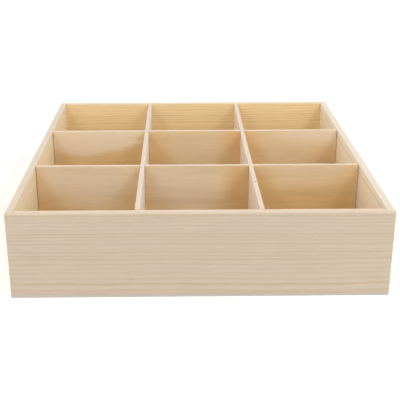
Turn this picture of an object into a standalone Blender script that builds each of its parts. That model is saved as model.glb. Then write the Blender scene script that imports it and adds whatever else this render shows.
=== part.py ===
"""A square pine box with a plywood bottom and a loose grid of plywood dividers: nine compartments.

The box stands on z = 0 with its front towards -Y. The grid is four half-lapped strips: two cross strips,
notched from above, stand on the bottom, and two long strips, notched from below, hang over them.
"""

import math

import bmesh
import bpy
from mathutils import Vector

# Driving dimensions, in metres
BOX_SIDE = 0.330  # outer width and depth
BOX_HEIGHT = 0.080  # floor to rim
BOARD = 0.007  # thickness of the four pine boards
PANEL = 0.003  # thickness of the plywood bottom
STRIP = 0.004  # thickness of the divider strips
GAP = 0.0003  # clearance between pieces that touch

LIP = 0.0025  # what the rabbets leave of the front and back boards at the corners
ARRIS = 0.0010  # radius of the softened board edges
PANEL_ARRIS = 0.0005  # radius of the softened edge under the bottom
ARRIS_SEGMENTS = 3

CELLS = 3  # compartments along each side
CROSS_END_GAPS = (0.0004, 0.0012)  # left and right ends of the cross strips to the side boards
LONG_END_GAP = 0.0004  # each end of the long strips to the front and back boards
LONG_DRIFT = {"left": -0.0005, "right": -0.0008}  # how far each long strip stands from an even spacing
LONG_BOW = {"left": 0.0, "right": -0.0006}  # sideways bow at the middle of each long strip
NOTCH_PLAY = 0.0003  # clearance on each side of a strip in its notch
BOW_STATIONS = 12  # lengthwise steps of a bowed strip

BRAD_LENGTH = 0.0150
BRAD_SHANK = 0.0006  # radii
BRAD_HEAD = 0.0010
BRAD_HEAD_THICK = 0.0008
BRAD_TAPER = 0.0015  # length of the pointed end
BRAD_TIP = 0.00015
BRAD_SET = 0.0004  # how far a head is set below the surface
BRAD_SIDES = 10
BRADS_PER_CORNER = 3
BRADS_PER_EDGE = 4  # through the bottom into each board

HALF = BOX_SIDE / 2
BOARD_FOOT = PANEL + GAP
BOARD_HEIGHT = BOX_HEIGHT - BOARD_FOOT
INNER_HALF = HALF - BOARD
SHOULDER = INNER_HALF - GAP  # |x| where the front and back boards' full thickness ends
SIDE_HALF_LENGTH = HALF - LIP - GAP
LAP_MIDDLE = (SIDE_HALF_LENGTH + INNER_HALF) / 2  # |y| of the corner brads
CELL = (2 * INNER_HALF - (CELLS - 1) * STRIP) / CELLS
STRIP_PITCH = (CELL + STRIP) / 2  # |x| and |y| of evenly spaced strips
NOTCH_LEVEL = BOARD_HEIGHT / 2  # height of the half laps above the strips' lower edges


def clear_scene():
    for old in list(bpy.data.objects):
        bpy.data.objects.remove(old, do_unlink=True)


def make_material(name, colour, roughness, metallic=0.0):
    material = bpy.data.materials.new(name)
    material.use_nodes = True
    shader = material.node_tree.nodes["Principled BSDF"]
    shader.inputs["Base Color"].default_value = (*colour, 1.0)
    shader.inputs["Roughness"].default_value = roughness
    shader.inputs["Metallic"].default_value = metallic
    material.diffuse_color = (*colour, 1.0)
    return material


def make_empty(name, location):
    empty = bpy.data.objects.new(name, None)
    empty.location = location
    bpy.context.scene.collection.objects.link(empty)
    return empty


def make_object(name, mesh, parent, location=(0, 0, 0), rotation=(0, 0, 0)):
    """Links a new object for the mesh. The location is given from the parent, which is never turned."""
    made = bpy.data.objects.new(name, mesh)
    made.parent = parent
    made.location = location
    made.rotation_euler = rotation
    bpy.context.scene.collection.objects.link(made)
    return made


def finish_mesh(name, bm, material=None, smooth_angle=None):
    bmesh.ops.recalc_face_normals(bm, faces=bm.faces)
    mesh = bpy.data.meshes.new(name)
    bm.to_mesh(mesh)
    bm.free()
    if material:
        mesh.materials.append(material)
    if smooth_angle:
        mesh.shade_smooth()
        mesh.set_sharp_from_angle(angle=smooth_angle)
    return mesh


# ---- boxes, boards and cutters ----


def add_block(bm, low, high):
    """Adds a rectangular block between two corners and returns its vertices."""
    low, high = Vector(low), Vector(high)
    block = bmesh.ops.create_cube(bm, size=1.0)["verts"]
    bmesh.ops.scale(bm, verts=block, vec=high - low)
    bmesh.ops.translate(bm, verts=block, vec=(low + high) / 2)
    return block


def soften(bm, edges, radius, segments=ARRIS_SEGMENTS):
    """Rounds the given edges."""
    bmesh.ops.bevel(
        bm, geom=edges, offset=radius, segments=segments, profile=0.5, affect="EDGES"
    )


def hide_cutter(cutter):
    cutter.hide_render = True
    cutter.display_type = "WIRE"


def cut(target, cutter):
    modifier = target.modifiers.new("cut by " + cutter.name, "BOOLEAN")
    modifier.operation = "DIFFERENCE"
    modifier.solver = "EXACT"
    modifier.object = cutter


def end_board(name, parent, side, material):
    """The front (side -1) or back (side +1) board: full width, rabbeted on its inner face at both ends."""
    bm = bmesh.new()
    add_block(bm, (-HALF, -BOARD / 2, 0), (HALF, BOARD / 2, BOARD_HEIGHT))

    def is_soft(edge):
        """True for the four edges of the rim and for the upright edges of the outer face."""
        on_rim = [v.co.z > BOARD_HEIGHT / 2 for v in edge.verts]
        on_outer_face = [v.co.y * side > 0 for v in edge.verts]
        return all(on_rim) or (any(on_rim) and all(on_outer_face))

    soften(bm, [edge for edge in bm.edges if is_soft(edge)], ARRIS)
    centre_y = side * (HALF - BOARD / 2)
    mesh = finish_mesh(name, bm, material)
    board = make_object(name, mesh, parent, (0, centre_y, BOARD_FOOT))

    bm = bmesh.new()
    past = BOARD  # how far the cutter runs past the board
    for end in (-1, 1):
        xs = sorted((end * SHOULDER, end * (HALF + past)))
        ys = sorted((side * (HALF - LIP), side * (INNER_HALF - past)))
        add_block(bm, (xs[0], ys[0], -past), (xs[1], ys[1], BOX_HEIGHT + past))
    cutter = make_object(name + "_rabbets", finish_mesh(name + "_rabbets", bm), parent)
    hide_cutter(cutter)
    cut(board, cutter)
    return board


def side_board(name, parent, side, material):
    """The left (side -1) or right (side +1) board, whose ends sit in the rabbets."""
    bm = bmesh.new()
    low = (-BOARD / 2, -SIDE_HALF_LENGTH, 0)
    high = (BOARD / 2, SIDE_HALF_LENGTH, BOARD_HEIGHT)
    add_block(bm, low, high)

    def is_soft(edge):
        """True for the two long edges of the rim."""
        first, second = (v.co for v in edge.verts)
        return min(first.z, second.z) > BOARD_HEIGHT / 2 and abs(first.x - second.x) < BOARD / 2

    soften(bm, [edge for edge in bm.edges if is_soft(edge)], ARRIS)
    centre_x = side * (HALF - BOARD / 2)
    mesh = finish_mesh(name, bm, material)
    return make_object(name, mesh, parent, (centre_x, 0, BOARD_FOOT))


def bottom_panel(name, parent, material):
    """The plywood bottom, flush with the boards' outer faces."""
    bm = bmesh.new()
    add_block(bm, (-HALF, -HALF, 0), (HALF, HALF, PANEL))
    uprights = [
        edge for edge in bm.edges if abs(edge.verts[0].co.z - edge.verts[1].co.z) > PANEL / 2
    ]
    soften(bm, uprights, ARRIS)
    underside = [edge for edge in bm.edges if all(v.co.z < PANEL / 2 for v in edge.verts)]
    soften(bm, underside, PANEL_ARRIS, segments=2)
    return make_object(name, finish_mesh(name, bm, material), parent)


# ---- divider strips ----


def strip_mesh(name, stations, notches, notch_from_top, bow, material):
    """A standing strip along +Y with half-height notches.

    The strip is a grid of cells, two high, between the stations. A cell that lies in a notch is left out,
    and only faces between a filled cell and an empty one are made.
    """
    levels = (0, NOTCH_LEVEL, BOARD_HEIGHT)
    missing_row = 1 if notch_from_top else 0

    def filled(i, j):
        if not (0 <= i < len(stations) - 1 and 0 <= j < 2):
            return False
        middle = (stations[i] + stations[i + 1]) / 2
        in_notch = any(low < middle < high for low, high in notches)
        return not (in_notch and j == missing_row)

    bm = bmesh.new()
    corners = {}

    def corner(side, i, k):
        if (side, i, k) not in corners:
            x = side * STRIP / 2 + bow(stations[i])
            corners[side, i, k] = bm.verts.new((x, stations[i], levels[k]))
        return corners[side, i, k]

    for i in range(len(stations) - 1):
        for j in range(2):
            if not filled(i, j):
                continue
            for side in (-1, 1):
                ring = [corner(side, *at) for at in ((i, j), (i + 1, j), (i + 1, j + 1), (i, j + 1))]
                bm.faces.new(ring)
            for neighbour, ends in (
                ((i - 1, j), ((i, j), (i, j + 1))),
                ((i + 1, j), ((i + 1, j), (i + 1, j + 1))),
                ((i, j - 1), ((i, j), (i + 1, j))),
                ((i, j + 1), ((i, j + 1), (i + 1, j + 1))),
            ):
                if not filled(*neighbour):
                    first, second = ends
                    bm.faces.new(
                        (corner(-1, *first), corner(-1, *second), corner(1, *second), corner(1, *first))
                    )
    return finish_mesh(name, bm, material)


def strip_stations(low, high, notches, steps):
    """The strip's ends, its notch walls, and even steps between them that stay clear of the notches."""
    walls = [wall for notch in notches for wall in notch]
    even = [low + (high - low) * k / steps for k in range(steps + 1)]
    clear = [y for y in even if all(abs(y - wall) > STRIP for wall in walls)]
    return sorted(set(clear + walls))


def bow_of(side):
    """Sideways place of the long strip's middle line at y, measured from its two ends."""
    length = 2 * (INNER_HALF - LONG_END_GAP)
    depth = LONG_BOW[side]
    return lambda y: depth * math.cos(math.pi * y / length)


def long_x(side):
    """Where the ends of the left or right long strip stand."""
    even = -STRIP_PITCH if side == "left" else STRIP_PITCH
    return even + LONG_DRIFT[side]


def notch_at(centre):
    half = STRIP / 2 + NOTCH_PLAY
    return (centre - half, centre + half)


def cross_strip(name, parent, y, material):
    low = -INNER_HALF + CROSS_END_GAPS[0]
    high = INNER_HALF - CROSS_END_GAPS[1]
    middle = (low + high) / 2
    notches = [notch_at(long_x(side) + bow_of(side)(y) - middle) for side in ("left", "right")]
    stations = strip_stations(low - middle, high - middle, notches, 1)
    mesh = strip_mesh(name, stations, notches, True, lambda _: 0.0, material)
    # The strip is made along +Y and turned to lie along +X.
    return make_object(name, mesh, parent, (middle, y, 0), (0, 0, -math.pi / 2))


def long_strip(name, parent, side, material):
    half = INNER_HALF - LONG_END_GAP
    notches = [notch_at(y) for y in (-STRIP_PITCH, STRIP_PITCH)]
    steps = BOW_STATIONS if LONG_BOW[side] else 1
    stations = strip_stations(-half, half, notches, steps)
    mesh = strip_mesh(name, stations, notches, False, bow_of(side), material)
    return make_object(name, mesh, parent, (long_x(side), 0, 0))


# ---- brads ----


def add_turned(bm, profile, sides):
    """Adds a closed body turned about +Z from a list of (radius, height), lowest first, and caps its ends."""
    rings = []
    for radius, height in profile:
        ring = []
        for k in range(sides):
            angle = 2 * math.pi * k / sides
            ring.append(bm.verts.new((radius * math.cos(angle), radius * math.sin(angle), height)))
        rings.append(ring)
    for lower, upper in zip(rings, rings[1:]):
        for k in range(sides):
            after = (k + 1) % sides
            bm.faces.new((lower[k], lower[after], upper[after], upper[k]))
    bm.faces.new(reversed(rings[0]))
    bm.faces.new(rings[-1])
    return [vertex for ring in rings for vertex in ring]


def brad_mesh(material):
    """A brad that points up, with the face of its head at z = 0."""
    bm = bmesh.new()
    profile = [
        (BRAD_HEAD, 0),
        (BRAD_HEAD, BRAD_HEAD_THICK),
        (BRAD_SHANK, BRAD_HEAD_THICK),
        (BRAD_SHANK, BRAD_LENGTH - BRAD_TAPER),
        (BRAD_TIP, BRAD_LENGTH),
    ]
    add_turned(bm, profile, BRAD_SIDES)
    return finish_mesh("brad", bm, material, math.radians(40))


def add_bore(bm, rotation, location):
    """Adds the hole for a brad: a wide mouth for its set head, and a bore for its shank."""
    profile = [
        (BRAD_HEAD + GAP, -2 * BRAD_SET),
        (BRAD_HEAD + GAP, BRAD_HEAD_THICK + GAP),
        (BRAD_SHANK + GAP, BRAD_HEAD_THICK + GAP),
        (BRAD_SHANK + GAP, BRAD_LENGTH + GAP),
    ]
    added = add_turned(bm, profile, BRAD_SIDES)
    turn = rotation.to_matrix().to_4x4()
    turn.translation = location
    bmesh.ops.transform(bm, matrix=turn, verts=added)


def corner_brad_places():
    """Name, place and turn of each brad that goes through a side board into the front or back board."""
    for end, y in (("front", -LAP_MIDDLE), ("back", LAP_MIDDLE)):
        for side, sign in (("left", -1), ("right", 1)):
            for row in range(BRADS_PER_CORNER):
                height = BOARD_FOOT + BOARD_HEIGHT * (row + 0.5) / BRADS_PER_CORNER
                place = Vector((sign * (HALF - BRAD_SET), y, height))
                yield f"corner_brad_{end}_{side}_{row + 1}", place, (0, -sign * math.pi / 2, 0)


def bottom_brad_places():
    """Name, place and turn of each brad that goes up through the bottom into a board's lower edge."""
    middle = HALF - BOARD / 2
    for edge, axis, sign in (("front", 1, -1), ("back", 1, 1), ("left", 0, -1), ("right", 0, 1)):
        for row in range(BRADS_PER_EDGE):
            place = Vector((0, 0, BRAD_SET))
            place[axis] = sign * middle
            place[1 - axis] = BOX_SIDE * ((row + 0.5) / BRADS_PER_EDGE - 0.5)
            yield f"bottom_brad_{edge}_{row + 1}", place, (0, 0, 0)


def drive_brads(places, mesh, parent, cutter_name, targets):
    """Makes a brad at each place and bores every piece that the brads hold."""
    bores = bmesh.new()
    for name, place, rotation in places:
        brad = make_object(name, mesh, parent, place, rotation)
        add_bore(bores, brad.rotation_euler, place)
    cutter = make_object(cutter_name, finish_mesh(cutter_name, bores), parent)
    hide_cutter(cutter)
    for target in targets:
        cut(target, cutter)


def main():
    clear_scene()
    pine = make_material("clear pine", (0.72, 0.53, 0.31), 0.55)
    birch = make_material("pale plywood", (0.66, 0.47, 0.27), 0.6)
    steel = make_material("bright steel", (0.62, 0.61, 0.59), 0.35, 1.0)

    box = make_empty("box", (0, 0, 0))
    grid = make_empty("divider_grid", (0, 0, BOARD_FOOT))

    boards = [
        end_board("front_board", box, -1, pine),
        end_board("back_board", box, 1, pine),
        side_board("left_board", box, -1, pine),
        side_board("right_board", box, 1, pine),
    ]
    bottom = bottom_panel("bottom_panel", box, birch)

    cross_strip("cross_divider_front", grid, -STRIP_PITCH, birch)
    cross_strip("cross_divider_back", grid, STRIP_PITCH, birch)
    long_strip("long_divider_left", grid, "left", birch)
    long_strip("long_divider_right", grid, "right", birch)

    brad = brad_mesh(steel)
    drive_brads(corner_brad_places(), brad, box, "corner_bores", boards)
    drive_brads(bottom_brad_places(), brad, box, "bottom_bores", [bottom, *boards])


main()
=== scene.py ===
# Looks for a pine box with a plywood bottom and a loose plywood divider grid.
# Lengths in the dictionaries are in millimetres unless a note says otherwise.
import math
import random

import bmesh
import bpy
from mathutils import Euler, Matrix, Vector, noise


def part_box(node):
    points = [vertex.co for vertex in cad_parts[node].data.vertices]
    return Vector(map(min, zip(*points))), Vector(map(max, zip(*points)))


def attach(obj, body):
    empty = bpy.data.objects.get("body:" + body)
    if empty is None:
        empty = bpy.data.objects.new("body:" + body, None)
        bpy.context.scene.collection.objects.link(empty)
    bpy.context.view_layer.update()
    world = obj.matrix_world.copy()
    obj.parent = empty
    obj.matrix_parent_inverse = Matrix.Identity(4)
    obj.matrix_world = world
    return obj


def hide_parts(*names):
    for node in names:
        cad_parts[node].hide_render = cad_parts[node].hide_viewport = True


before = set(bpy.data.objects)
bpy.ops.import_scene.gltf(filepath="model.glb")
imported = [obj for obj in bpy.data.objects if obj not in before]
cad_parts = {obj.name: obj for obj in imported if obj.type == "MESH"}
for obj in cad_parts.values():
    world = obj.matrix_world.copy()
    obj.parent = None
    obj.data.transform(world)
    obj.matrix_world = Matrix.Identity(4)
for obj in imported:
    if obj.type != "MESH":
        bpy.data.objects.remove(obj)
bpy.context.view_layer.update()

mm = 0.001
tiny = 0.01 * mm  # places closer than this are one place
print("frame loaded:", len(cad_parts), "nodes")


def toLinear(hexColour):
    # sRGB hex to the linear values that a socket takes
    parts = [int(hexColour[k:k + 2], 16) / 255 for k in (1, 3, 5)]
    return [c / 12.92 if c <= 0.04045 else ((c + 0.055) / 1.055) ** 2.4 for c in parts] + [1.0]


def addNode(tree, kind, settings=None, inputs=None):
    # inputs maps a socket's name or number to a value, or to the socket that feeds it
    node = tree.nodes.new(kind)
    for name, value in (settings or {}).items():
        setattr(node, name, value)
    for key, value in (inputs or {}).items():
        if isinstance(value, bpy.types.NodeSocket):
            tree.links.new(value, node.inputs[key])
        else:
            node.inputs[key].default_value = value
    return node


def addMath(tree, operation, *values):
    # each value is a number or a socket
    return addNode(tree, "ShaderNodeMath", {"operation": operation}, dict(enumerate(values))).outputs[0]


def addVectorMath(tree, operation, *values):
    sockets = addNode(tree, "ShaderNodeVectorMath", {"operation": operation}, dict(enumerate(values))).outputs
    return sockets["Value" if operation in ("LENGTH", "DOT_PRODUCT") else "Vector"]


def addRange(tree, value, source=(0.0, 1.0), target=(0.0, 1.0), smooth=False):
    # carries a value from the source range to the target range and holds it there
    return addNode(tree, "ShaderNodeMapRange", {"interpolation_type": "SMOOTHSTEP" if smooth else "LINEAR"},
                   {"Value": value, "From Min": source[0], "From Max": source[1], "To Min": target[0],
                    "To Max": target[1]}).outputs[0]


def addPatches(tree, vector, size, seed, detail, distortion=0.0):
    # smooth noise whose features have the given size in millimetres along, across and up
    return addNode(tree, "ShaderNodeTexNoise", {"noise_dimensions": "4D"},
                   {"Vector": addVectorMath(tree, "DIVIDE", vector, size), "W": seed, "Scale": 1.0,
                    "Detail": detail, "Roughness": 0.5, "Distortion": distortion}).outputs[0]


def addCells(tree, vector, size):
    # scattered points, one to a cell of the given size in millimetres
    return addNode(tree, "ShaderNodeTexVoronoi", {"feature": "F1"},
                   {"Vector": addVectorMath(tree, "DIVIDE", vector, size), "Scale": 1.0}).outputs


def inMillimetres(tree, vector):
    return addNode(tree, "ShaderNodeVectorMath", {"operation": "SCALE"},
                   {0: vector, "Scale": 1 / mm}).outputs[0]


def evenSteps(low, high, step):
    count = max(1, round((high - low) / step))
    return [low + (high - low) * k / count for k in range(count + 1)]


def cellSolid(xs, ys, zs, isFilled):
    # the closed skin of the filled cells of a box grid; isFilled takes the middle of a cell
    bm = bmesh.new()
    corners = {}
    counts = (len(xs) - 1, len(ys) - 1, len(zs) - 1)

    def corner(i, j, k):
        if (i, j, k) not in corners:
            corners[i, j, k] = bm.verts.new((xs[i], ys[j], zs[k]))
        return corners[i, j, k]

    def filled(i, j, k):
        if not (0 <= i < counts[0] and 0 <= j < counts[1] and 0 <= k < counts[2]):
            return False
        return isFilled((xs[i] + xs[i + 1]) / 2, (ys[j] + ys[j + 1]) / 2, (zs[k] + zs[k + 1]) / 2)

    for i in range(counts[0]):
        for j in range(counts[1]):
            for k in range(counts[2]):
                if not filled(i, j, k):
                    continue
                for axis in range(3):
                    for way in (0, 1):
                        step = [0, 0, 0]
                        step[axis] = 2 * way - 1
                        if filled(i + step[0], j + step[1], k + step[2]):
                            continue
                        ring = []
                        for du, dv in ((0, 0), (1, 0), (1, 1), (0, 1)):
                            at = [i, j, k]
                            at[axis] += way
                            at[(axis + 1) % 3] += du
                            at[(axis + 2) % 3] += dv
                            ring.append(corner(*at))
                        bm.faces.new(ring if way else ring[::-1])
    return bm


def softenEdges(bm, wanted, radius, segments):
    # rounds the right-angled edges that pass the test, and marks the new faces
    arris = bm.faces.layers.float.get("arris") or bm.faces.layers.float.new("arris")
    edges = [e for e in bm.edges if len(e.link_faces) == 2
             and e.link_faces[0].normal.dot(e.link_faces[1].normal) < 0.5 and wanted(e)]
    made = bmesh.ops.bevel(bm, geom=edges, offset=radius * mm, segments=segments, profile=0.5, affect="EDGES")
    for face in made["faces"]:
        face[arris] = 1.0
        face.smooth = True
    bm.normal_update()


def addTurned(bm, profile, sides, turn):
    # a closed turned body along +Z from (radius, height) pairs, set in place by the matrix
    rings = []
    for radius, height in profile:
        angles = [2 * math.pi * k / sides for k in range(sides)]
        ring = [Vector((radius * math.cos(a), radius * math.sin(a), height)) * mm for a in angles]
        rings.append([bm.verts.new(turn @ p) for p in ring])
    for low, high in zip(rings, rings[1:]):
        for k in range(sides):
            bm.faces.new((low[k], low[(k + 1) % sides], high[(k + 1) % sides], high[k]))
    bm.faces.new(rings[0][::-1])
    bm.faces.new(rings[-1])


def makePiece(name, bm, materials):
    mesh = bpy.data.meshes.new(name)
    bm.to_mesh(mesh)
    bm.free()
    for material in materials:
        mesh.materials.append(material)
    piece = bpy.data.objects.new(name, mesh)
    bpy.context.scene.collection.objects.link(piece)
    return piece


def applyModifiers(piece):
    # the evaluated mesh takes the place of the piece's own
    graph = bpy.context.evaluated_depsgraph_get()
    plain = bpy.data.meshes.new_from_object(piece.evaluated_get(graph))
    old = piece.data
    piece.modifiers.clear()
    piece.data = plain
    plain.name = piece.name
    bpy.data.meshes.remove(old)


def placePiece(piece, body, slot, *nodes):
    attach(piece, body)
    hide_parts(*nodes)


# sizes read from the frame
frontLow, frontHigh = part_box("front_board")
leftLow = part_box("left_board")[0]
bottomLow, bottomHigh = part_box("bottom_panel")
half = frontHigh.x  # outer half width and half depth
rim = frontHigh.z
board = frontHigh.y - frontLow.y
inner = half - board
seam = 0.06 * mm  # what a glued joint shows
boardFoot = bottomHigh.z + seam
lipInner = -leftLow.y + 0.3 * mm - seam  # inner face of the rabbets' lips, as |y|


pineLook = {
    # clear pine, planed and sanded: pale beige early wood, thin tan late wood lines, and a silky cut
    "lateWood": "#B98F58", "warmTone": "#E6CFA2", "rosyTone": "#E0CBBA", "endGrain": "#C9A877",
    "duct": "#9A6B3C", "earlyShare": 0.72, "endDepth": 0.6, "ductDepth": 0.16,
    "rimDepth": 0.75,  # the rim and the arrises are paler: partly sanded again after gluing, partly a painted highlight where they catch the light
    "fibreTint": (0.93, 1.05), "roughness": (0.50, 0.66), "relief": 0.06,
}
ringLook = {
    # sizes in millimetres along, across and up; a ring runs from 0 to 1 through its year
    "trunk": (230, 70, 70), "ripple": (48, 20, 20), "tremble": (11, 5, 5), "rippleWander": 1.1,
    "trembleWander": 0.22, "yearRate": 0.41, "yearSpread": 0.8, "lateRise": (0.30, 0.88),
    "lateFall": (1.0, 0.90), "faintest": 0.25, "fibre": (22, 0.9, 0.9), "tone": (140, 26, 24),
    "ductCell": (16, 3.0, 3.0), "ductReach": (0.16, 0.07), "ductShare": 0.30, "fibreRelief": 0.5,
}
plywoodLook = {
    # rotary-cut basswood ply: smooth pale face with soft long bands, and a whiter sawn edge
    # the warm colour is painted shade for the cells' corners, the pale colour painted light for the lit
    # patches on the dividers' faces
    "paintedWarmShade": "#E8C084", "paintedLightPatch": "#F0DBBE", "band": "#CBA878", "fleck": "#B08C60", "glue": "#B79B78",
    "core": "#C9B594", "bandSize": (190, 15, 15), "bandReach": (0.42, 0.66), "bandDepth": 0.22,
    "wobble": (34, 9, 9), "ragged": 0.7,  # how far the wobble pushes a patch's outline, in half sizes
    "fibre": (20, 0.9, 0.9), "fleckCell": (7, 1.8, 1.8), "fleckReach": (0.20, 0.05), "fleckDepth": 0.12,
    # shares of the way from the middle of the sheet to its face
    "faceFrom": 0.985, "coreReach": (0.40, 0.34), "glueAt": 0.38, "glueHalf": 0.03,
    "coreDepth": 0.25, "glueDepth": 0.18,
    "fibreTint": (0.94, 1.04), "roughness": (0.55, 0.70), "relief": 0.05,
}
fibreReach = (0.25, 0.75)  # where nearly all of a fibre patch's values lie


def softwoodGroup(look=ringLook):
    # Growth rings in the solid, so that faces, arrises and end grain agree. The vector is in
    # millimetres, with the pith along X through its zero.
    group = bpy.data.node_groups.new("softwood", "ShaderNodeTree")
    face = group.interface
    for name, kind, default in (("Vector", "NodeSocketVector", None), ("Ring width", "NodeSocketFloat", 3.0),
                                ("Wander", "NodeSocketFloat", 6.0), ("Seed", "NodeSocketFloat", 0.0)):
        socket = face.new_socket(name, in_out="INPUT", socket_type=kind)
        if default is not None:
            socket.default_value = default
    for name in ("Late", "Strength", "Fibre", "Tone", "Duct", "Height"):
        face.new_socket(name, in_out="OUTPUT", socket_type="NodeSocketFloat")
    given = addNode(group, "NodeGroupInput").outputs
    result = addNode(group, "NodeGroupOutput")

    def patch(size, detail, seedStep):
        seed = addMath(group, "ADD", given["Seed"], seedStep)
        return addPatches(group, given["Vector"], size, seed, detail)

    split = addNode(group, "ShaderNodeSeparateXYZ", None, {0: given["Vector"]})
    across = addNode(group, "ShaderNodeCombineXYZ", None, {1: split.outputs[1], 2: split.outputs[2]})
    radius = addVectorMath(group, "LENGTH", across.outputs[0])
    # slow wander of the trunk, then ripples of one to two centimetres, then a slight tremble
    for size, amount, seedStep in ((look["trunk"], given["Wander"], 1.0),
                                   (look["ripple"], look["rippleWander"], 2.0),
                                   (look["tremble"], look["trembleWander"], 3.0)):
        centred = addMath(group, "SUBTRACT", patch(size, 1.0, seedStep), 0.5)
        radius = addMath(group, "MULTIPLY_ADD", centred, amount, radius)
    rings = addMath(group, "DIVIDE", radius, given["Ring width"])
    # good and bad years: rings of uneven width
    years = addNode(group, "ShaderNodeTexNoise", {"noise_dimensions": "1D"},
                    {"W": rings, "Scale": look["yearRate"], "Detail": 1.0})
    uneven = addMath(group, "MULTIPLY_ADD", years.outputs[0], look["yearSpread"], rings)
    fraction = addMath(group, "FRACT", uneven)
    number = addMath(group, "FLOOR", uneven)
    chance = addNode(group, "ShaderNodeTexWhiteNoise", {"noise_dimensions": "1D"}, {"W": number})
    # the late wood darkens slowly and ends sharply
    rise = addRange(group, fraction, look["lateRise"], smooth=True)
    fall = addRange(group, fraction, look["lateFall"], smooth=True)
    late = addMath(group, "MULTIPLY", rise, fall)
    strength = addRange(group, chance.outputs[0], target=(look["faintest"], 1.0))
    # fibres are finer than this on real pine; drawn at about a millimetre so that they show
    fibre = patch(look["fibre"], 2.0, 4.0)
    tone = patch(look["tone"], 1.0, 5.0)
    # resin ducts: sparse short dashes along the grain
    ducts = addCells(group, given["Vector"], look["ductCell"])
    near = addRange(group, ducts["Distance"], look["ductReach"])
    seldom = addNode(group, "ShaderNodeSeparateColor", None, {0: ducts["Color"]})
    rare = addMath(group, "LESS_THAN", seldom.outputs[0], look["ductShare"])
    duct = addMath(group, "MULTIPLY", near, rare)
    # sanding leaves the hard late wood a little proud
    ridge = addMath(group, "MULTIPLY_ADD", fibre, look["fibreRelief"], late)
    height = addMath(group, "SUBTRACT", ridge, duct)
    for name, socket in (("Late", late), ("Strength", strength), ("Fibre", fibre), ("Tone", tone),
                         ("Duct", duct), ("Height", height)):
        group.links.new(socket, result.inputs[name])
    return group


def blendColour(tree, factor, first, second, mode="MIX"):
    return addNode(tree, "ShaderNodeMix", {"data_type": "RGBA", "blend_type": mode},
                   {0: factor, 6: first, 7: second}).outputs[2]


def startMaterial(name):
    material = bpy.data.materials.new(name)
    material.use_nodes = True
    tree = material.node_tree
    tree.nodes.clear()
    shader = addNode(tree, "ShaderNodeBsdfPrincipled")
    addNode(tree, "ShaderNodeOutputMaterial", None, {"Surface": shader.outputs[0]})
    return material, tree, shader


def tintByFibre(tree, colour, fibre, look):
    # fibres lighten and darken the wood by a few percent
    amount = addRange(tree, fibre, fibreReach, look["fibreTint"])
    tint = addNode(tree, "ShaderNodeCombineColor", None, {0: amount, 1: amount, 2: amount})
    return blendColour(tree, 1.0, colour, tint.outputs[0], "MULTIPLY")


def finishWood(tree, shader, colour, fibre, height, look):
    tree.links.new(colour, shader.inputs["Base Color"])
    tree.links.new(addRange(tree, fibre, target=look["roughness"]), shader.inputs["Roughness"])
    relief = addNode(tree, "ShaderNodeBump", None,
                     {"Strength": 0.5, "Distance": look["relief"] * mm, "Height": height})
    tree.links.new(relief.outputs[0], shader.inputs["Normal"])


def pineMaterial(name, grain, look=pineLook):
    # grain: pith (along, across and up from the board's middle), lean of the pith in degrees, and
    # lineDepth, how much of the late wood's colour shows
    material, tree, shader = startMaterial(name)
    place = addNode(tree, "ShaderNodeTexCoord").outputs["Object"]
    turned = addNode(tree, "ShaderNodeMapping", {"vector_type": "TEXTURE"},
                     {"Vector": place, "Location": [v * mm for v in grain["pith"]],
                      "Rotation": [math.radians(a) for a in grain["lean"]]})
    wood = addNode(tree, "ShaderNodeGroup", {"node_tree": softwood},
                   {"Vector": inMillimetres(tree, turned.outputs[0]), "Ring width": grain["ringWidth"],
                    "Wander": grain["wander"], "Seed": grain["seed"]}).outputs
    colour = blendColour(tree, wood["Tone"], toLinear(look["warmTone"]), toLinear(look["rosyTone"]))
    colour = blendColour(tree, look["earlyShare"], colour, toLinear(grain["earlyWood"]))
    line = addMath(tree, "MULTIPLY", wood["Late"], wood["Strength"])
    depth = addMath(tree, "MULTIPLY", line, grain["lineDepth"])
    colour = blendColour(tree, depth, colour, toLinear(look["lateWood"]))
    colour = tintByFibre(tree, colour, wood["Fibre"], look)
    ductDepth = addMath(tree, "MULTIPLY", wood["Duct"], look["ductDepth"])
    colour = blendColour(tree, ductDepth, colour, toLinear(look["duct"]))
    # rim tops and rounded edges take the paler rim colour: partly sanding, partly a painted highlight
    for attribute, depth, shade in (("arris", look["rimDepth"], grain["rim"]),
                                    ("endGrain", look["endDepth"], look["endGrain"])):
        marked = addNode(tree, "ShaderNodeAttribute", {"attribute_name": attribute}).outputs["Fac"]
        colour = blendColour(tree, addMath(tree, "MULTIPLY", marked, depth), colour, toLinear(shade))
    finishWood(tree, shader, colour, wood["Fibre"], wood["Height"], look)
    return material


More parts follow.
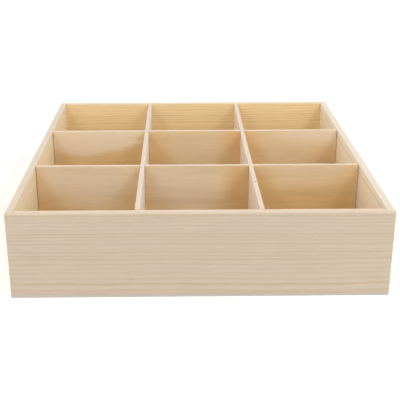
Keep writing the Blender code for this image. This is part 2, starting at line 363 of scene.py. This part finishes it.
def plywoodMaterial(name, grain, look=plywoodLook):
    # grain: turn that lays the face grain along X, seed, and patches of painted warm shade and painted light.
    # Attribute ply runs from -1 to 1 through the sheet.
    material, tree, shader = startMaterial(name)
    place = addNode(tree, "ShaderNodeTexCoord").outputs["Object"]
    turned = addNode(tree, "ShaderNodeMapping", {"vector_type": "TEXTURE"},
                     {"Vector": place, "Rotation": [math.radians(a) for a in grain["lean"]]})
    scaled = inMillimetres(tree, turned.outputs[0])

    def patch(size, seedStep, distortion=0.0):
        return addPatches(tree, scaled, size, grain["seed"] + seedStep, 2.0, distortion)

    # the knife peels along the rings, so the face shows broad wandering bands
    bands = patch(look["bandSize"], 0.0, 0.6)
    bandDepth = addRange(tree, bands, look["bandReach"], (0.0, look["bandDepth"]), smooth=True)
    wobble = patch(look["wobble"], 2.0)
    outline = 1 + look["ragged"] / 2  # a wobble is near a half
    colour = toLinear(grain["face"])
    # painted shade and light: warm patches shade the cells' corners, pale patches light the faces where the
    # lamps reach them
    for tone in ("paintedWarmShade", "paintedLightPatch"):
        for x, z, wide, tall, softness, strength in grain[tone]:
            reach = addVectorMath(tree, "SUBTRACT", scaled, (x, 0, z))
            reach = addVectorMath(tree, "MULTIPLY", reach, (1 / wide, 0, 1 / tall))
            reach = addVectorMath(tree, "LENGTH", reach)
            ragged = addMath(tree, "MULTIPLY_ADD", wobble, look["ragged"], reach)
            amount = addRange(tree, ragged, (outline + softness, outline - softness), (0.0, strength),
                              smooth=True)
            colour = blendColour(tree, amount, colour, toLinear(look[tone]))
    colour = blendColour(tree, bandDepth, colour, toLinear(look["band"]))
    # vessel flecks, up to 3 mm long
    flecks = addCells(tree, scaled, look["fleckCell"])
    near = addRange(tree, flecks["Distance"], look["fleckReach"], (0.0, look["fleckDepth"]))
    colour = blendColour(tree, near, colour, toLinear(look["fleck"]))
    # sawn edge: pale long grain outside, browner end grain in the core, dark glue lines between
    ply = addNode(tree, "ShaderNodeAttribute", {"attribute_name": "ply"}).outputs["Fac"]
    depth = addMath(tree, "ABSOLUTE", ply)
    onEdge = addMath(tree, "LESS_THAN", depth, look["faceFrom"])
    inCore = addRange(tree, depth, look["coreReach"], smooth=True)
    atGlue = addMath(tree, "COMPARE", depth, look["glueAt"], look["glueHalf"])
    edge = toLinear(grain["edge"])
    for amount, share, shade in ((inCore, look["coreDepth"], look["core"]),
                                 (atGlue, look["glueDepth"], look["glue"])):
        edge = blendColour(tree, addMath(tree, "MULTIPLY", amount, share), edge, toLinear(shade))
    colour = blendColour(tree, onEdge, colour, edge)
    fibre = patch(look["fibre"], 1.0)
    colour = tintByFibre(tree, colour, fibre, look)
    finishWood(tree, shader, colour, fibre, fibre, look)
    return material


def steelMaterial():
    # bright drawn wire, its heads stamped: grey, with a soft brushed gloss
    material, tree, shader = startMaterial("brightSteel")
    place = addNode(tree, "ShaderNodeTexCoord").outputs["Object"]
    marks = addNode(tree, "ShaderNodeTexNoise", None,
                    {"Vector": inMillimetres(tree, place), "Scale": 3.0, "Detail": 3.0}).outputs[0]
    colour = blendColour(tree, marks, toLinear("#8E8C88"), toLinear("#C4C2BC"))
    tree.links.new(colour, shader.inputs["Base Color"])
    tree.links.new(addRange(tree, marks, target=(0.28, 0.5)), shader.inputs["Roughness"])
    shader.inputs["Metallic"].default_value = 1.0
    return material


softwood = softwoodGroup()
# each board's early wood and rim colours were set to how bright and warm that board looked in its own light;
# boards differ in tone, and part of these differences is painted light and shade: the back board's golden
# early wood is partly painted warm bounce light, the front board's greyer early wood partly painted shade
frontPine = pineMaterial("frontPine", {
    "pith": (0, -225, -20), "lean": (0, 0.3, 0), "ringWidth": 2.7, "wander": 4, "seed": 3.0,
    "earlyWood": "#C3B6A4", "rim": "#E2CBAF", "lineDepth": 0.42})
backPine = pineMaterial("backPine", {
    "pith": (0, 110, -35), "lean": (0, -0.5, 0), "ringWidth": 3.0, "wander": 4, "seed": 11.0,
    "earlyWood": "#FDE0A4", "rim": "#DBC8AA", "lineDepth": 0.34})
leftPine = pineMaterial("leftPine", {
    "pith": (-215, 0, -15), "lean": (0, 0.4, 90), "ringWidth": 3.0, "wander": 4, "seed": 23.0,
    "earlyWood": "#F0DDB8", "rim": "#D3C2AF", "lineDepth": 0.30})
rightPine = pineMaterial("rightPine", {
    "pith": (205, 0, 110), "lean": (0, 0.5, 90), "ringWidth": 3.1, "wander": 4, "seed": 37.0,
    "earlyWood": "#F3E5CB", "rim": "#DED1C2", "lineDepth": 0.30})
# patches painted on the dividers' faces, warm ones as painted shade in the cells' corners and pale ones as
# painted light: place along and above the table, half sizes, softness of the edge, strength
paintedCornerShade = [(x, 50, 22, 32, 0.6, 0.45) for x in (-156, -54, -50, 50, 54, 156)]
# each piece's face and edge colours were set to how it looked in its own light, so part of the differences
# between the pieces is painted light and shade
frontPly = plywoodMaterial("frontPly", {
    "lean": (0, 0, 0), "seed": 2.0, "face": "#F8DCAE", "edge": "#E6CCB2",
    "paintedLightPatch": [(-110, 74, 48, 36, 0.35, 0.9), (-14, 66, 36, 38, 0.4, 0.9), (105, 86, 52, 18, 0.5, 0.6)],
    "paintedWarmShade": paintedCornerShade + [(-140, 36, 30, 14, 0.4, 0.7), (48, 62, 22, 22, 0.5, 0.6),
                              (105, 38, 62, 18, 0.5, 0.8)]})
rearPly = plywoodMaterial("rearPly", {
    "lean": (0, 0, 0), "seed": 5.0, "face": "#E8CFA7", "edge": "#E6CCB2",
    "paintedLightPatch": [(-130, 84, 70, 30, 0.14, 1.0), (158, 86, 66, 24, 0.4, 1.0)],
    "paintedWarmShade": paintedCornerShade + [(-90, 48, 44, 14, 0.4, 0.7), (46, 68, 14, 18, 0.5, 0.6)]})
leftPly = plywoodMaterial("leftPly", {
    "lean": (0, 0, 90), "seed": 9.0, "face": "#E6DCCE", "edge": "#E2D0C0", "paintedLightPatch": [], "paintedWarmShade": []})
rightPly = plywoodMaterial("rightPly", {
    "lean": (0, 0, 90), "seed": 13.0, "face": "#E4D2BD", "edge": "#E2D0C0", "paintedLightPatch": [], "paintedWarmShade": []})
bottomPly = plywoodMaterial("bottomPly", {
    "lean": (0, 0, 0), "seed": 17.0, "face": "#E3D0B2", "edge": "#C4BBB3", "paintedLightPatch": [], "paintedWarmShade": []})
brightSteel = steelMaterial()
print("materials made")


# brads and the holes they sit in
bradLook = {"headRadius": 1.0, "headThick": 0.8, "shankRadius": 0.6, "length": 15.0, "taper": 1.5,
            "sides": 14, "holePlay": 0.04, "point": 0.25}  # point is its width as a share of the shank


def bradPlaces():
    # place of each head and the way it was driven, from the frame
    for name in sorted(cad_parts):
        if "_brad_" not in name:
            continue
        low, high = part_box(name)
        middle = (low + high) / 2
        if name.startswith("corner"):
            inwards = Vector((-1 if middle.x > 0 else 1, 0, 0))
        else:
            inwards = Vector((0, 0, 1))
        yield name, middle - inwards * bradLook["length"] / 2 * mm, inwards


brads = list(bradPlaces())


def boreMesh(bm, look=bradLook):
    # one stepped hole for each brad, with its mouth well outside the wood
    wide = look["headRadius"] + look["holePlay"]
    slim = look["shankRadius"] + look["holePlay"]
    profile = [(wide, -1.2), (wide, look["headThick"]), (slim, look["headThick"]),
               (slim, look["length"] + 0.2)]
    for name, place, inwards in brads:
        turn = Matrix.Translation(place) @ inwards.to_track_quat("Z", "Y").to_matrix().to_4x4()
        addTurned(bm, profile, look["sides"], turn)
    bmesh.ops.recalc_face_normals(bm, faces=bm.faces)


boreBm = bmesh.new()
boreMesh(boreBm)
boreCutter = makePiece("boreCutter", boreBm, [])


def cutAway(piece, cutter=boreCutter):
    cut = piece.modifiers.new("cut", "BOOLEAN")
    cut.operation = "DIFFERENCE"
    cut.solver = "EXACT"
    cut.object = cutter
    applyModifiers(piece)


boardLook = {"outerArris": 1.15, "innerArris": 0.7, "footArris": 0.3, "segments": 4, "step": 6.0,
             # share by which the hand-sanded radius varies, how far apart, and how soon it fades at an end
             "sanding": 0.28, "sandingWave": 34, "sandingFade": 12}


def markFaces(bm, endAxis):
    # end grain where the boards were crosscut, and the rim, paler from sanding and from a painted highlight
    ends = bm.faces.layers.float.new("endGrain")
    sandedAndLit = bm.faces.layers.float.new("arris")
    for face in bm.faces:
        face[ends] = 1.0 if abs(face.normal[endAxis]) > 0.9 else 0.0
        face[sandedAndLit] = 1.0 if face.normal.z > 0.9 else 0.0


def sandUnevenly(bm, along, corners, seed, look=boardLook):
    # opens and closes the arris radius slowly along the board; corners are (axis, place) pairs of
    # sharp edges
    ends = [v.co[along] for v in bm.verts]
    low, high = min(ends), max(ends)
    for vert in bm.verts:
        fade = min(1.0, (min(vert.co[along] - low, high - vert.co[along]) / mm) / look["sandingFade"])
        for (axisA, placeA), (axisB, placeB) in corners:
            a = vert.co[axisA] - placeA
            b = vert.co[axisB] - placeB
            if max(abs(a), abs(b)) > 1.3 * look["outerArris"] * mm:
                continue
            wave = noise.noise(Vector((vert.co[along] / (look["sandingWave"] * mm), seed, 0)))
            grow = 1 + look["sanding"] * fade * wave
            vert.co[axisA] = placeA + a * grow
            vert.co[axisB] = placeB + b * grow


def makeEndBoard(name, side, material, node, look=boardLook):
    # side is -1 at the front and 1 at the back
    shoulder = inner - seam
    xs = [-half] + evenSteps(-shoulder, shoulder, look["step"] * mm) + [half]
    ys = sorted([side * half, side * lipInner, side * inner])
    zs = [boardFoot, rim]
    bm = cellSolid(xs, ys, zs, lambda x, y, z: abs(x) < shoulder or abs(y) > lipInner)
    bm.normal_update()
    markFaces(bm, 0)

    def onOuterFace(edge):
        return all(abs(v.co.y - side * half) < tiny for v in edge.verts)

    def onRim(edge):
        return all(v.co.z > rim - tiny for v in edge.verts)

    def onEnd(edge):
        return all(abs(v.co.x) > half - tiny for v in edge.verts)

    def onInnerFace(edge):
        return all(abs(v.co.y - side * inner) < tiny for v in edge.verts)

    softenEdges(bm, lambda e: (onRim(e) and (onOuterFace(e) or onEnd(e))) or (onOuterFace(e) and onEnd(e)),
                look["outerArris"], look["segments"])
    softenEdges(bm, lambda e: onRim(e) and onInnerFace(e), look["innerArris"], look["segments"])
    softenEdges(bm, lambda e: all(v.co.z < boardFoot + tiny for v in e.verts)
                and all(abs(v.co.y) > half - look["outerArris"] * mm for v in e.verts)
                and not onInnerFace(e), look["footArris"], 2)
    # an upright arris turns into the end grain
    # upright arrises keep a fifth of the paler rim colour, sanding with painted highlight
    ends, sandedAndLit = bm.faces.layers.float["endGrain"], bm.faces.layers.float["arris"]
    for face in bm.faces:
        if face[sandedAndLit] and abs(face.normal.z) < 0.3:
            face[sandedAndLit], face[ends] = 0.2, abs(face.normal.x)
    sandUnevenly(bm, 0, [((1, side * half), (2, rim)), ((1, side * inner), (2, rim))], side * 5.0)
    piece = makePiece(name, bm, [material])
    cutAway(piece)
    placePiece(piece, "box", "clear_pine", node)


def makeSideBoard(name, side, material, node, look=boardLook):
    # side is -1 on the left and 1 on the right; its ends are hidden in the rabbets
    end = lipInner - seam
    xs = sorted([side * half, side * inner])
    ys = evenSteps(-end, end, look["step"] * mm)
    bm = cellSolid(xs, ys, [boardFoot, rim], lambda x, y, z: True)
    bm.normal_update()
    markFaces(bm, 1)

    def isLong(edge, x, z):
        return all(abs(v.co.x - x) < tiny and abs(v.co.z - z) < tiny for v in edge.verts)

    softenEdges(bm, lambda e: isLong(e, side * half, rim), look["outerArris"], look["segments"])
    softenEdges(bm, lambda e: isLong(e, side * inner, rim), look["innerArris"], look["segments"])
    softenEdges(bm, lambda e: isLong(e, side * half, boardFoot), look["footArris"], 2)
    sandUnevenly(bm, 1, [((0, side * half), (2, rim)), ((0, side * inner), (2, rim))], 20 + side * 5.0)
    piece = makePiece(name, bm, [material])
    cutAway(piece)
    placePiece(piece, "box", "clear_pine", node)


makeEndBoard("frontBoard", -1, frontPine, "front_board")
makeEndBoard("backBoard", 1, backPine, "back_board")
makeSideBoard("leftBoard", -1, leftPine, "left_board")
makeSideBoard("rightBoard", 1, rightPine, "right_board")
print("boards made")


# plywood; lengths in millimetres
bottomLook = {"cornerArris": 1.1, "edgeArris": 0.3, "underArris": 0.45}
stripLook = {"thick": 4.0, "lapPlay": 0.15, "arris": 0.22, "step": 5.0, "rise": 3.2, "nearWall": 1.2,
             "endRoughness": 0.10, "tornAt": 53, "tornReach": 9}
chipLook = {"along": -97, "aside": 0.3, "stretch": 1.8, "sides": 12,
            "profile": [(0.8, -1.0), (0.75, 0.4), (0.4, 3.2)]}  # (radius, depth) pairs


def markPly(bm, depthAt):
    layer = bm.verts.layers.float.new("ply")
    for vert in bm.verts:
        vert[layer] = max(-1.0, min(1.0, depthAt(vert.co)))


def makeBottom(look=bottomLook):
    edge = evenSteps(-half, half, 12 * mm)
    bm = cellSolid(edge, edge, [bottomLow.z, bottomHigh.z], lambda x, y, z: True)
    bm.normal_update()
    middle = (bottomLow.z + bottomHigh.z) / 2
    softenEdges(bm, lambda e: abs(e.verts[0].co.z - e.verts[1].co.z) > mm, look["cornerArris"], 4)
    softenEdges(bm, lambda e: all(v.co.z > middle for v in e.verts), look["edgeArris"], 2)
    softenEdges(bm, lambda e: all(v.co.z < middle for v in e.verts), look["underArris"], 3)
    markPly(bm, lambda co: (co.z - middle) / (bottomHigh.z - middle))
    piece = makePiece("bottomPanel", bm, [bottomPly])
    cutAway(piece)
    placePiece(piece, "box", "pale_plywood", "bottom_panel")


makeBottom()
print("bottom made")


def makeStrip(name, node, along, notchCentres, notchFromTop, material, body, bow, ragged, look=stripLook):
    # a standing strip: along is 0 for the cross strips and 1 for the long ones, bow is how far its
    # middle stands off its ends, ragged is how far its far end is torn
    low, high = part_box(node)
    across = 1 - along
    thick = look["thick"] * mm
    centre = (low[across] + high[across]) / 2 if not bow else high[across] - thick / 2
    lapHalf = thick / 2 + look["lapPlay"] * mm
    walls = sorted([c - lapHalf for c in notchCentres] + [c + lapHalf for c in notchCentres])
    stations = [s for s in evenSteps(low[along], high[along], look["step"] * mm)
                if all(abs(s - w) > look["nearWall"] * mm for w in walls)]
    stations = sorted(stations + walls)
    lap = (low.z + high.z) / 2
    levels = evenSteps(low.z, lap, look["rise"] * mm) + evenSteps(lap, high.z, look["rise"] * mm)[1:]

    def isFilled(x, y, z):
        place = (x, y)[along]
        inNotch = any(abs(place - c) < lapHalf for c in notchCentres)
        return not (inNotch and (z > lap if notchFromTop else z < lap))

    sides = [-thick / 2, thick / 2]
    if along == 0:
        bm = cellSolid(stations, sides, levels, isFilled)
    else:
        bm = cellSolid(sides, stations, levels, isFilled)
    bm.normal_update()
    random.seed(int(abs(centre) * 1e6) + along)
    roughenEnds(bm, along, low[along], high[along], ragged, look)
    softenEdges(bm, lambda e: True, look["arris"], 2)
    markPly(bm, lambda co: co[across] / (thick / 2))
    for vert in bm.verts:
        vert.co[across] += centre + bow * math.cos(math.pi * vert.co[along] / (high[along] - low[along]))
    piece = makePiece(name, bm, [material])
    placePiece(piece, body, "pale_plywood", node)


def roughenEnds(bm, along, low, high, ragged, look):
    # sawn ends: each point of an end is pulled in a little, and more where the saw tore the veneer
    for vert in bm.verts:
        place = vert.co[along]
        if place - low < 1e-6:
            vert.co[along] += random.random() * look["endRoughness"] * mm
        elif high - place < 1e-6:
            torn = ragged if vert.co[1 - along] < 0 else ragged * 0.2
            torn *= 0.5 + 1.6 * math.exp(-((vert.co.z / mm - look["tornAt"]) / look["tornReach"]) ** 2)
            vert.co[along] -= (random.random() * torn + random.random() * look["endRoughness"]) * mm


stripPitch = (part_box("cross_divider_back")[0].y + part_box("cross_divider_back")[1].y) / 2
leftX = (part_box("long_divider_left")[0].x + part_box("long_divider_left")[1].x) / 2
stripThick = stripLook["thick"] * mm
rightLow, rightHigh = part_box("long_divider_right")
rightEnds = rightHigh.x - stripThick / 2
rightBow = -(rightHigh.x - rightLow.x - stripThick)
rightX = rightEnds + rightBow * math.cos(math.pi * stripPitch / (rightHigh.y - rightLow.y))

for name, node, material, ragged in (("crossDividerFront", "cross_divider_front", frontPly, 0.8),
                                     ("crossDividerBack", "cross_divider_back", rearPly, 0.3)):
    makeStrip(name, node, 0, [leftX, rightX], True, material, "cross_dividers", 0, ragged)
for name, node, material, bow in (("longDividerLeft", "long_divider_left", leftPly, 0),
                                  ("longDividerRight", "long_divider_right", rightPly, rightBow)):
    makeStrip(name, node, 1, [-stripPitch, stripPitch], False, material, node, bow, 0.1)


def chipEdge(piece, look=chipLook):
    # a small chip missing from the top edge, tapering downwards
    bm = bmesh.new()
    place = Vector((rightX + look["aside"] * mm, look["along"] * mm, rim))
    addTurned(bm, look["profile"], look["sides"],
              Matrix.Translation(place) @ Matrix.Diagonal((1, look["stretch"], 1, 1))
              @ Matrix.Rotation(math.pi, 4, "X"))
    bmesh.ops.recalc_face_normals(bm, faces=bm.faces)
    cutter = makePiece("chipCutter", bm, [])
    cutAway(piece, cutter)
    bpy.data.objects.remove(cutter)


chipEdge(bpy.data.objects["longDividerRight"])
print("dividers made")


def bradTree(look=bradLook):
    tree = bpy.data.node_groups.new("bradSet", "GeometryNodeTree")
    face = tree.interface
    face.new_socket("Geometry", in_out="INPUT", socket_type="NodeSocketGeometry")
    for name, value in (("Head radius", look["headRadius"] * mm), ("Head thickness", look["headThick"] * mm),
                        ("Shank radius", look["shankRadius"] * mm), ("Length", look["length"] * mm),
                        ("Taper", look["taper"] * mm)):
        face.new_socket(name, in_out="INPUT", socket_type="NodeSocketFloat").default_value = value
    face.new_socket("Sides", in_out="INPUT", socket_type="NodeSocketInt").default_value = look["sides"]
    face.new_socket("Finish", in_out="INPUT", socket_type="NodeSocketMaterial")
    face.new_socket("Geometry", in_out="OUTPUT", socket_type="NodeSocketGeometry")
    given = addNode(tree, "NodeGroupInput").outputs
    # one brad along +Z: a flat head, a shank and a tapering point, joined face to face
    straight = addMath(tree, "SUBTRACT", given["Length"], given["Taper"])
    head = addNode(tree, "GeometryNodeMeshCylinder", None,
                   {"Vertices": given["Sides"], "Radius": given["Head radius"],
                    "Depth": given["Head thickness"]})
    shank = addNode(tree, "GeometryNodeMeshCone", None,
                    {"Vertices": given["Sides"], "Radius Top": given["Shank radius"],
                     "Radius Bottom": given["Shank radius"],
                     "Depth": addMath(tree, "SUBTRACT", straight, given["Head thickness"])})
    point = addNode(tree, "GeometryNodeMeshCone", None,
                    {"Vertices": given["Sides"],
                     "Radius Top": addMath(tree, "MULTIPLY", given["Shank radius"], look["point"]),
                     "Radius Bottom": given["Shank radius"], "Depth": given["Taper"]})
    brad = addNode(tree, "GeometryNodeMeshBoolean", {"operation": "UNION"})
    for body, height in ((head, addMath(tree, "MULTIPLY", given["Head thickness"], 0.5)),
                         (shank, given["Head thickness"]), (point, straight)):
        up = addNode(tree, "ShaderNodeCombineXYZ", None, {2: height})
        moved = addNode(tree, "GeometryNodeTransform", None,
                        {"Geometry": body.outputs["Mesh"], "Translation": up.outputs[0]})
        tree.links.new(moved.outputs[0], brad.inputs["Mesh 2"])
    aim = addNode(tree, "GeometryNodeInputNamedAttribute", {"data_type": "FLOAT_VECTOR"}, {"Name": "aim"})
    turn = addNode(tree, "FunctionNodeAlignEulerToVector", {"axis": "Z"},
                   {"Vector": aim.outputs["Attribute"]})
    placed = addNode(tree, "GeometryNodeInstanceOnPoints", None,
                     {"Points": given["Geometry"], "Instance": brad.outputs[0], "Rotation": turn.outputs[0]})
    real = addNode(tree, "GeometryNodeRealizeInstances", None, {0: placed.outputs[0]})
    finished = addNode(tree, "GeometryNodeSetMaterial", None,
                       {"Geometry": real.outputs[0], "Material": given["Finish"]})
    addNode(tree, "NodeGroupOutput", None, {0: finished.outputs[0]})
    return tree


def setInput(modifier, name, value):
    for item in modifier.node_group.interface.items_tree:
        if item.item_type == "SOCKET" and item.in_out == "INPUT" and item.name == name:
            modifier[item.identifier] = value


def makeBrads():
    mesh = bpy.data.meshes.new("brads")
    mesh.from_pydata([place for name, place, inwards in brads], [], [])
    aim = mesh.attributes.new("aim", "FLOAT_VECTOR", "POINT")
    for k, (name, place, inwards) in enumerate(brads):
        aim.data[k].vector = inwards
    piece = bpy.data.objects.new("brads", mesh)
    bpy.context.scene.collection.objects.link(piece)
    modifier = piece.modifiers.new("bradSet", "NODES")
    modifier.node_group = bradTree()
    setInput(modifier, "Finish", brightSteel)
    applyModifiers(piece)
    placePiece(piece, "box", "bright_steel", *[name for name, place, inwards in brads])


makeBrads()
bpy.data.objects.remove(boreCutter)
print("brads made")


# stage, light and camera
tentLook = {
    # white cloth all round, brightest a little above the box, with a dark roof and a dimmer gap in front
    "walls": ((0.20, 1.0), (0.45, 1.4), (0.65, 0.0)),  # (sine of the height, strength) pairs
    "gap": 0.75, "gapWay": (0.0, -0.90, 0.43), "gapEdge": (0.80, 0.96),
    # the table's own glow, low beside the box and white further off, with the distances in metres
    "tableGlow": (0.15, 0.7), "tableReach": (0.8, 1.7),
}
softboxes = {
    # way round from the front and height above the table in degrees, then distance, width and height
    # in metres, then watts
    "nearRightBox": (40, 30, 1.2, 0.3, 0.3, 0.5), "leftBox": (-90, 22, 1.2, 0.3, 0.3, 1.75),
    "rightBox": (90, 22, 1.2, 0.3, 0.3, 1.5), "highLeftBox": (-60, 50, 1.2, 0.3, 0.3, 4.0),
    "highRightBox": (60, 50, 1.2, 0.3, 0.3, 4.75), "backBox": (180, 32, 1.3, 0.9, 0.6, 4.25),
}


def makeStage(look=tentLook):
    material, tree, shader = startMaterial("paperSweep")
    place = addNode(tree, "ShaderNodeTexCoord").outputs["Object"]
    mottle = addNode(tree, "ShaderNodeTexNoise", None, {"Vector": place, "Scale": 3.0})
    colour = blendColour(tree, mottle.outputs[0], toLinear("#F8F8F7"), toLinear("#FBFBFA"))
    tree.links.new(colour, shader.inputs["Base Color"])
    shader.inputs["Roughness"].default_value = 0.9
    shader.inputs["Emission Color"].default_value = (1, 1, 1, 1)
    far = addVectorMath(tree, "LENGTH", place)
    glow = addRange(tree, far, look["tableReach"], look["tableGlow"], smooth=True)
    tree.links.new(glow, shader.inputs["Emission Strength"])
    bm = bmesh.new()
    bmesh.ops.create_grid(bm, x_segments=4, y_segments=4, size=4.0)
    floor = makePiece("floor", bm, [material])


def makeSoftbox(name, around, above, distance, width, height, watts):
    data = bpy.data.lights.new(name, "AREA")
    data.shape = "RECTANGLE"
    data.size, data.size_y = width, height
    data.energy = watts
    way = Euler((0, 0, math.radians(around))).to_matrix() @ Vector((0, -math.cos(math.radians(above)),
                                                                    math.sin(math.radians(above))))
    light = bpy.data.objects.new(name, data)
    light.location = Vector((0, 0, rim / 2)) + way * distance
    light.rotation_euler = way.to_track_quat("Z", "Y").to_euler()
    bpy.context.scene.collection.objects.link(light)


def makeTent(look=tentLook):
    world = bpy.data.worlds.new("tent")
    world.use_nodes = True
    tree = world.node_tree
    tree.nodes.clear()
    way = addNode(tree, "ShaderNodeTexCoord").outputs["Generated"]
    height = addNode(tree, "ShaderNodeSeparateXYZ", None, {0: way}).outputs[2]
    wall = addNode(tree, "ShaderNodeValToRGB", None, {0: height})
    stops = wall.color_ramp.elements
    while len(stops) < len(look["walls"]):
        stops.new(0.5)
    for stop, (place, glow) in zip(stops, look["walls"]):
        stop.position, stop.color = place, (glow, glow, glow, 1)
    towards = addVectorMath(tree, "DOT_PRODUCT", way, look["gapWay"])
    gap = addRange(tree, towards, look["gapEdge"], smooth=True)
    strength = addNode(tree, "ShaderNodeMix", {"data_type": "FLOAT"},
                       {0: gap, 2: wall.outputs[0], 3: look["gap"]})
    glow = addNode(tree, "ShaderNodeBackground", None,
                   {"Color": (1, 1, 1, 1), "Strength": strength.outputs[0]})
    addNode(tree, "ShaderNodeOutputWorld", None, {"Surface": glow.outputs[0]})
    bpy.context.scene.world = world


makeStage()
makeTent()
for name, settings in softboxes.items():
    makeSoftbox(name, *settings)
bpy.context.scene.view_settings.view_transform = "Standard"

# lens and sensor in millimetres, shifts in sensor widths, place in box widths, angles in radians
lensLook = {"lens": 68.1183, "sensor": 36, "shift": (0.03, -0.15), "place": (-0.05127, -2.25533, 1.04881),
            "yaw": 0.01097, "pitch": 0.3345, "roll": -0.00209}
camera = bpy.data.cameras.new("camera")
camera.sensor_width = lensLook["sensor"]
camera.lens = lensLook["lens"]
camera.shift_x, camera.shift_y = lensLook["shift"]
cameraObject = bpy.data.objects.new("camera", camera)
cameraObject.location = [v * 2 * half for v in lensLook["place"]]
yaw, pitch, roll = lensLook["yaw"], lensLook["pitch"], lensLook["roll"]
ahead = Vector((math.sin(yaw) * math.cos(pitch), math.cos(yaw) * math.cos(pitch), -math.sin(pitch)))
right = Vector((math.cos(yaw), -math.sin(yaw), 0))
up = right.cross(ahead)
tiltedRight = right * math.cos(roll) + up * math.sin(roll)
tiltedUp = up * math.cos(roll) - right * math.sin(roll)
cameraObject.rotation_euler = Matrix((tiltedRight, tiltedUp, -ahead)).transposed().to_euler()
bpy.context.scene.collection.objects.link(cameraObject)
bpy.context.scene.camera = cameraObject
print("stage, light and camera made")
